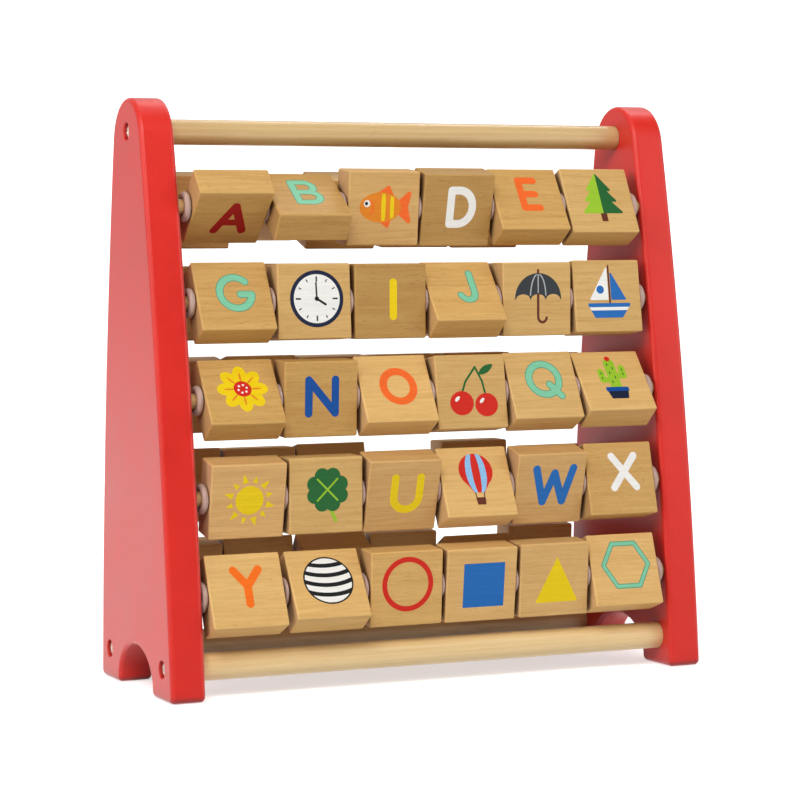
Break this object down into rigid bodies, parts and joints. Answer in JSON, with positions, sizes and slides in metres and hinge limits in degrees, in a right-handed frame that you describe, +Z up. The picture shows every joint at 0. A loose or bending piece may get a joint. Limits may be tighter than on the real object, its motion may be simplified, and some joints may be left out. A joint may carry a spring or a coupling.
{
  "type": "alphabet abacus",
  "caption": "Free-standing double-sided wooden abacus: two arched side panels tied by round rails, with rows of square tiles that turn on rods between spacer rings.",
  "frame": {"origin": "on the floor, midway between the panels and midway between front and rear", "axes": "+X along the rods to the right as seen from the front, +Y to the rear, +Z up"},
  "size_m": [0.295, 0.1349, 0.3],
  "materials": {
    "panel_lacquer": "satin red lacquer on board",
    "tile_beech": "fine-sanded beech with printed faces",
    "rail_beech": "clear-varnished beech dowel",
    "rod_and_rings": "beech dowel with pale spacer rings",
    "rod_beech": "plain beech dowel",
    "screw_steel": "bright zinc-plated"
  },
  "bodies": {
    "frame": {"left_panel": "panel_lacquer", "right_panel": "panel_lacquer", "top_rail": "rail_beech", "front_foot_rail": "rail_beech", "rear_foot_rail": "rail_beech", "front_rod_1": "rod_and_rings", "front_rod_2": "rod_and_rings", "front_rod_3": "rod_and_rings", "front_rod_4": "rod_and_rings", "front_rod_5": "rod_and_rings", "rear_rod_1": "rod_beech", "rear_rod_2": "rod_beech", "rear_rod_3": "rod_beech", "rear_rod_4": "rod_beech", "rear_rod_5": "rod_beech", "screw_left_top": "screw_steel", "screw_left_front": "screw_steel", "screw_left_rear": "screw_steel", "screw_right_top": "screw_steel", "screw_right_front": "screw_steel", "screw_right_rear": "screw_steel"},
    "tile_r1_c1": {"tile_r1_c1": "tile_beech"},
    "tile_r1_c2": {"tile_r1_c2": "tile_beech"},
    "tile_r1_c3": {"tile_r1_c3": "tile_beech"},
    "tile_r1_c4": {"tile_r1_c4": "tile_beech"},
    "tile_r1_c5": {"tile_r1_c5": "tile_beech"},
    "tile_r1_c6": {"tile_r1_c6": "tile_beech"},
    "tile_r2_c1": {"tile_r2_c1": "tile_beech"},
    "tile_r2_c2": {"tile_r2_c2": "tile_beech"},
    "tile_r2_c3": {"tile_r2_c3": "tile_beech"},
    "tile_r2_c4": {"tile_r2_c4": "tile_beech"},
    "tile_r2_c5": {"tile_r2_c5": "tile_beech"},
    "tile_r2_c6": {"tile_r2_c6": "tile_beech"},
    "tile_r3_c1": {"tile_r3_c1": "tile_beech"},
    "tile_r3_c2": {"tile_r3_c2": "tile_beech"},
    "tile_r3_c3": {"tile_r3_c3": "tile_beech"},
    "tile_r3_c4": {"tile_r3_c4": "tile_beech"},
    "tile_r3_c5": {"tile_r3_c5": "tile_beech"},
    "tile_r3_c6": {"tile_r3_c6": "tile_beech"},
    "tile_r4_c1": {"tile_r4_c1": "tile_beech"},
    "tile_r4_c2": {"tile_r4_c2": "tile_beech"},
    "tile_r4_c3": {"tile_r4_c3": "tile_beech"},
    "tile_r4_c4": {"tile_r4_c4": "tile_beech"},
    "tile_r4_c5": {"tile_r4_c5": "tile_beech"},
    "tile_r4_c6": {"tile_r4_c6": "tile_beech"},
    "tile_r5_c1": {"tile_r5_c1": "tile_beech"},
    "tile_r5_c2": {"tile_r5_c2": "tile_beech"},
    "tile_r5_c3": {"tile_r5_c3": "tile_beech"},
    "tile_r5_c4": {"tile_r5_c4": "tile_beech"},
    "tile_r5_c5": {"tile_r5_c5": "tile_beech"},
    "tile_r5_c6": {"tile_r5_c6": "tile_beech"},
    "rear_tiles_row_1": {"rear_tiles_row_1": "tile_beech"},
    "rear_tiles_row_2": {"rear_tiles_row_2": "tile_beech"},
    "rear_tiles_row_3": {"rear_tiles_row_3": "tile_beech"},
    "rear_tiles_row_4": {"rear_tiles_row_4": "tile_beech"},
    "rear_tiles_row_5": {"rear_tiles_row_5": "tile_beech"}
  },
  "joints": [
    {"name": "spin_r1_c1", "type": "hinge", "parent": "frame", "child": "tile_r1_c1", "pos_m": [-0.10375, -0.02463, 0.2443], "axis": [1, 0, 0], "continuous": true},
    {"name": "spin_r1_c2", "type": "hinge", "parent": "frame", "child": "tile_r1_c2", "pos_m": [-0.0622, -0.02463, 0.2443], "axis": [1, 0, 0], "continuous": true},
    {"name": "spin_r1_c3", "type": "hinge", "parent": "frame", "child": "tile_r1_c3", "pos_m": [-0.02055, -0.02463, 0.2443], "axis": [1, 0, 0], "continuous": true},
    {"name": "spin_r1_c4", "type": "hinge", "parent": "frame", "child": "tile_r1_c4", "pos_m": [0.021, -0.02463, 0.2443], "axis": [1, 0, 0], "continuous": true},
    {"name": "spin_r1_c5", "type": "hinge", "parent": "frame", "child": "tile_r1_c5", "pos_m": [0.06255, -0.02463, 0.2443], "axis": [1, 0, 0], "continuous": true},
    {"name": "spin_r1_c6", "type": "hinge", "parent": "frame", "child": "tile_r1_c6", "pos_m": [0.10415, -0.02463, 0.2443], "axis": [1, 0, 0], "continuous": true},
    {"name": "spin_r2_c1", "type": "hinge", "parent": "frame", "child": "tile_r2_c1", "pos_m": [-0.10455, -0.03134, 0.1959], "axis": [1, 0, 0], "continuous": true},
    {"name": "spin_r2_c2", "type": "hinge", "parent": "frame", "child": "tile_r2_c2", "pos_m": [-0.06195, -0.03134, 0.1959], "axis": [1, 0, 0], "continuous": true},
    {"name": "spin_r2_c3", "type": "hinge", "parent": "frame", "child": "tile_r2_c3", "pos_m": [-0.02025, -0.03134, 0.1959], "axis": [1, 0, 0], "continuous": true},
    {"name": "spin_r2_c4", "type": "hinge", "parent": "frame", "child": "tile_r2_c4", "pos_m": [0.02135, -0.03134, 0.1959], "axis": [1, 0, 0], "continuous": true},
    {"name": "spin_r2_c5", "type": "hinge", "parent": "frame", "child": "tile_r2_c5", "pos_m": [0.06295, -0.03134, 0.1959], "axis": [1, 0, 0], "continuous": true},
    {"name": "spin_r2_c6", "type": "hinge", "parent": "frame", "child": "tile_r2_c6", "pos_m": [0.10455, -0.03134, 0.1959], "axis": [1, 0, 0], "continuous": true},
    {"name": "spin_r3_c1", "type": "hinge", "parent": "frame", "child": "tile_r3_c1", "pos_m": [-0.10385, -0.03923, 0.1475], "axis": [1, 0, 0], "continuous": true},
    {"name": "spin_r3_c2", "type": "hinge", "parent": "frame", "child": "tile_r3_c2", "pos_m": [-0.06215, -0.03923, 0.1475], "axis": [1, 0, 0], "continuous": true},
    {"name": "spin_r3_c3", "type": "hinge", "parent": "frame", "child": "tile_r3_c3", "pos_m": [-0.02055, -0.03923, 0.1475], "axis": [1, 0, 0], "continuous": true},
    {"name": "spin_r3_c4", "type": "hinge", "parent": "frame", "child": "tile_r3_c4", "pos_m": [0.02105, -0.03923, 0.1475], "axis": [1, 0, 0], "continuous": true},
    {"name": "spin_r3_c5", "type": "hinge", "parent": "frame", "child": "tile_r3_c5", "pos_m": [0.06275, -0.03923, 0.1475], "axis": [1, 0, 0], "continuous": true},
    {"name": "spin_r3_c6", "type": "hinge", "parent": "frame", "child": "tile_r3_c6", "pos_m": [0.1044, -0.03923, 0.1475], "axis": [1, 0, 0], "continuous": true},
    {"name": "spin_r4_c1", "type": "hinge", "parent": "frame", "child": "tile_r4_c1", "pos_m": [-0.10395, -0.0447, 0.0991], "axis": [1, 0, 0], "continuous": true},
    {"name": "spin_r4_c2", "type": "hinge", "parent": "frame", "child": "tile_r4_c2", "pos_m": [-0.06225, -0.0447, 0.0991], "axis": [1, 0, 0], "continuous": true},
    {"name": "spin_r4_c3", "type": "hinge", "parent": "frame", "child": "tile_r4_c3", "pos_m": [-0.02045, -0.0447, 0.0991], "axis": [1, 0, 0], "continuous": true},
    {"name": "spin_r4_c4", "type": "hinge", "parent": "frame", "child": "tile_r4_c4", "pos_m": [0.02125, -0.0447, 0.0991], "axis": [1, 0, 0], "continuous": true},
    {"name": "spin_r4_c5", "type": "hinge", "parent": "frame", "child": "tile_r4_c5", "pos_m": [0.06285, -0.0447, 0.0991], "axis": [1, 0, 0], "continuous": true},
    {"name": "spin_r4_c6", "type": "hinge", "parent": "frame", "child": "tile_r4_c6", "pos_m": [0.10445, -0.0447, 0.0991], "axis": [1, 0, 0], "continuous": true},
    {"name": "spin_r5_c1", "type": "hinge", "parent": "frame", "child": "tile_r5_c1", "pos_m": [-0.10655, -0.04884, 0.0507], "axis": [1, 0, 0], "continuous": true},
    {"name": "spin_r5_c2", "type": "hinge", "parent": "frame", "child": "tile_r5_c2", "pos_m": [-0.06325, -0.04884, 0.0507], "axis": [1, 0, 0], "continuous": true},
    {"name": "spin_r5_c3", "type": "hinge", "parent": "frame", "child": "tile_r5_c3", "pos_m": [-0.0207, -0.04884, 0.0507], "axis": [1, 0, 0], "continuous": true},
    {"name": "spin_r5_c4", "type": "hinge", "parent": "frame", "child": "tile_r5_c4", "pos_m": [0.021, -0.04884, 0.0507], "axis": [1, 0, 0], "continuous": true},
    {"name": "spin_r5_c5", "type": "hinge", "parent": "frame", "child": "tile_r5_c5", "pos_m": [0.0627, -0.04884, 0.0507], "axis": [1, 0, 0], "continuous": true},
    {"name": "spin_r5_c6", "type": "hinge", "parent": "frame", "child": "tile_r5_c6", "pos_m": [0.1044, -0.04884, 0.0507], "axis": [1, 0, 0], "continuous": true},
    {"name": "spin_rear_row_1", "type": "hinge", "parent": "frame", "child": "rear_tiles_row_1", "pos_m": [0, 0.02463, 0.2443], "axis": [1, 0, 0], "continuous": true},
    {"name": "spin_rear_row_2", "type": "hinge", "parent": "frame", "child": "rear_tiles_row_2", "pos_m": [0, 0.03134, 0.1959], "axis": [1, 0, 0], "continuous": true},
    {"name": "spin_rear_row_3", "type": "hinge", "parent": "frame", "child": "rear_tiles_row_3", "pos_m": [0, 0.03923, 0.1475], "axis": [1, 0, 0], "continuous": true},
    {"name": "spin_rear_row_4", "type": "hinge", "parent": "frame", "child": "rear_tiles_row_4", "pos_m": [0, 0.0447, 0.0991], "axis": [1, 0, 0], "continuous": true},
    {"name": "spin_rear_row_5", "type": "hinge", "parent": "frame", "child": "rear_tiles_row_5", "pos_m": [0, 0.04884, 0.0507], "axis": [1, 0, 0], "continuous": true}
  ]
}
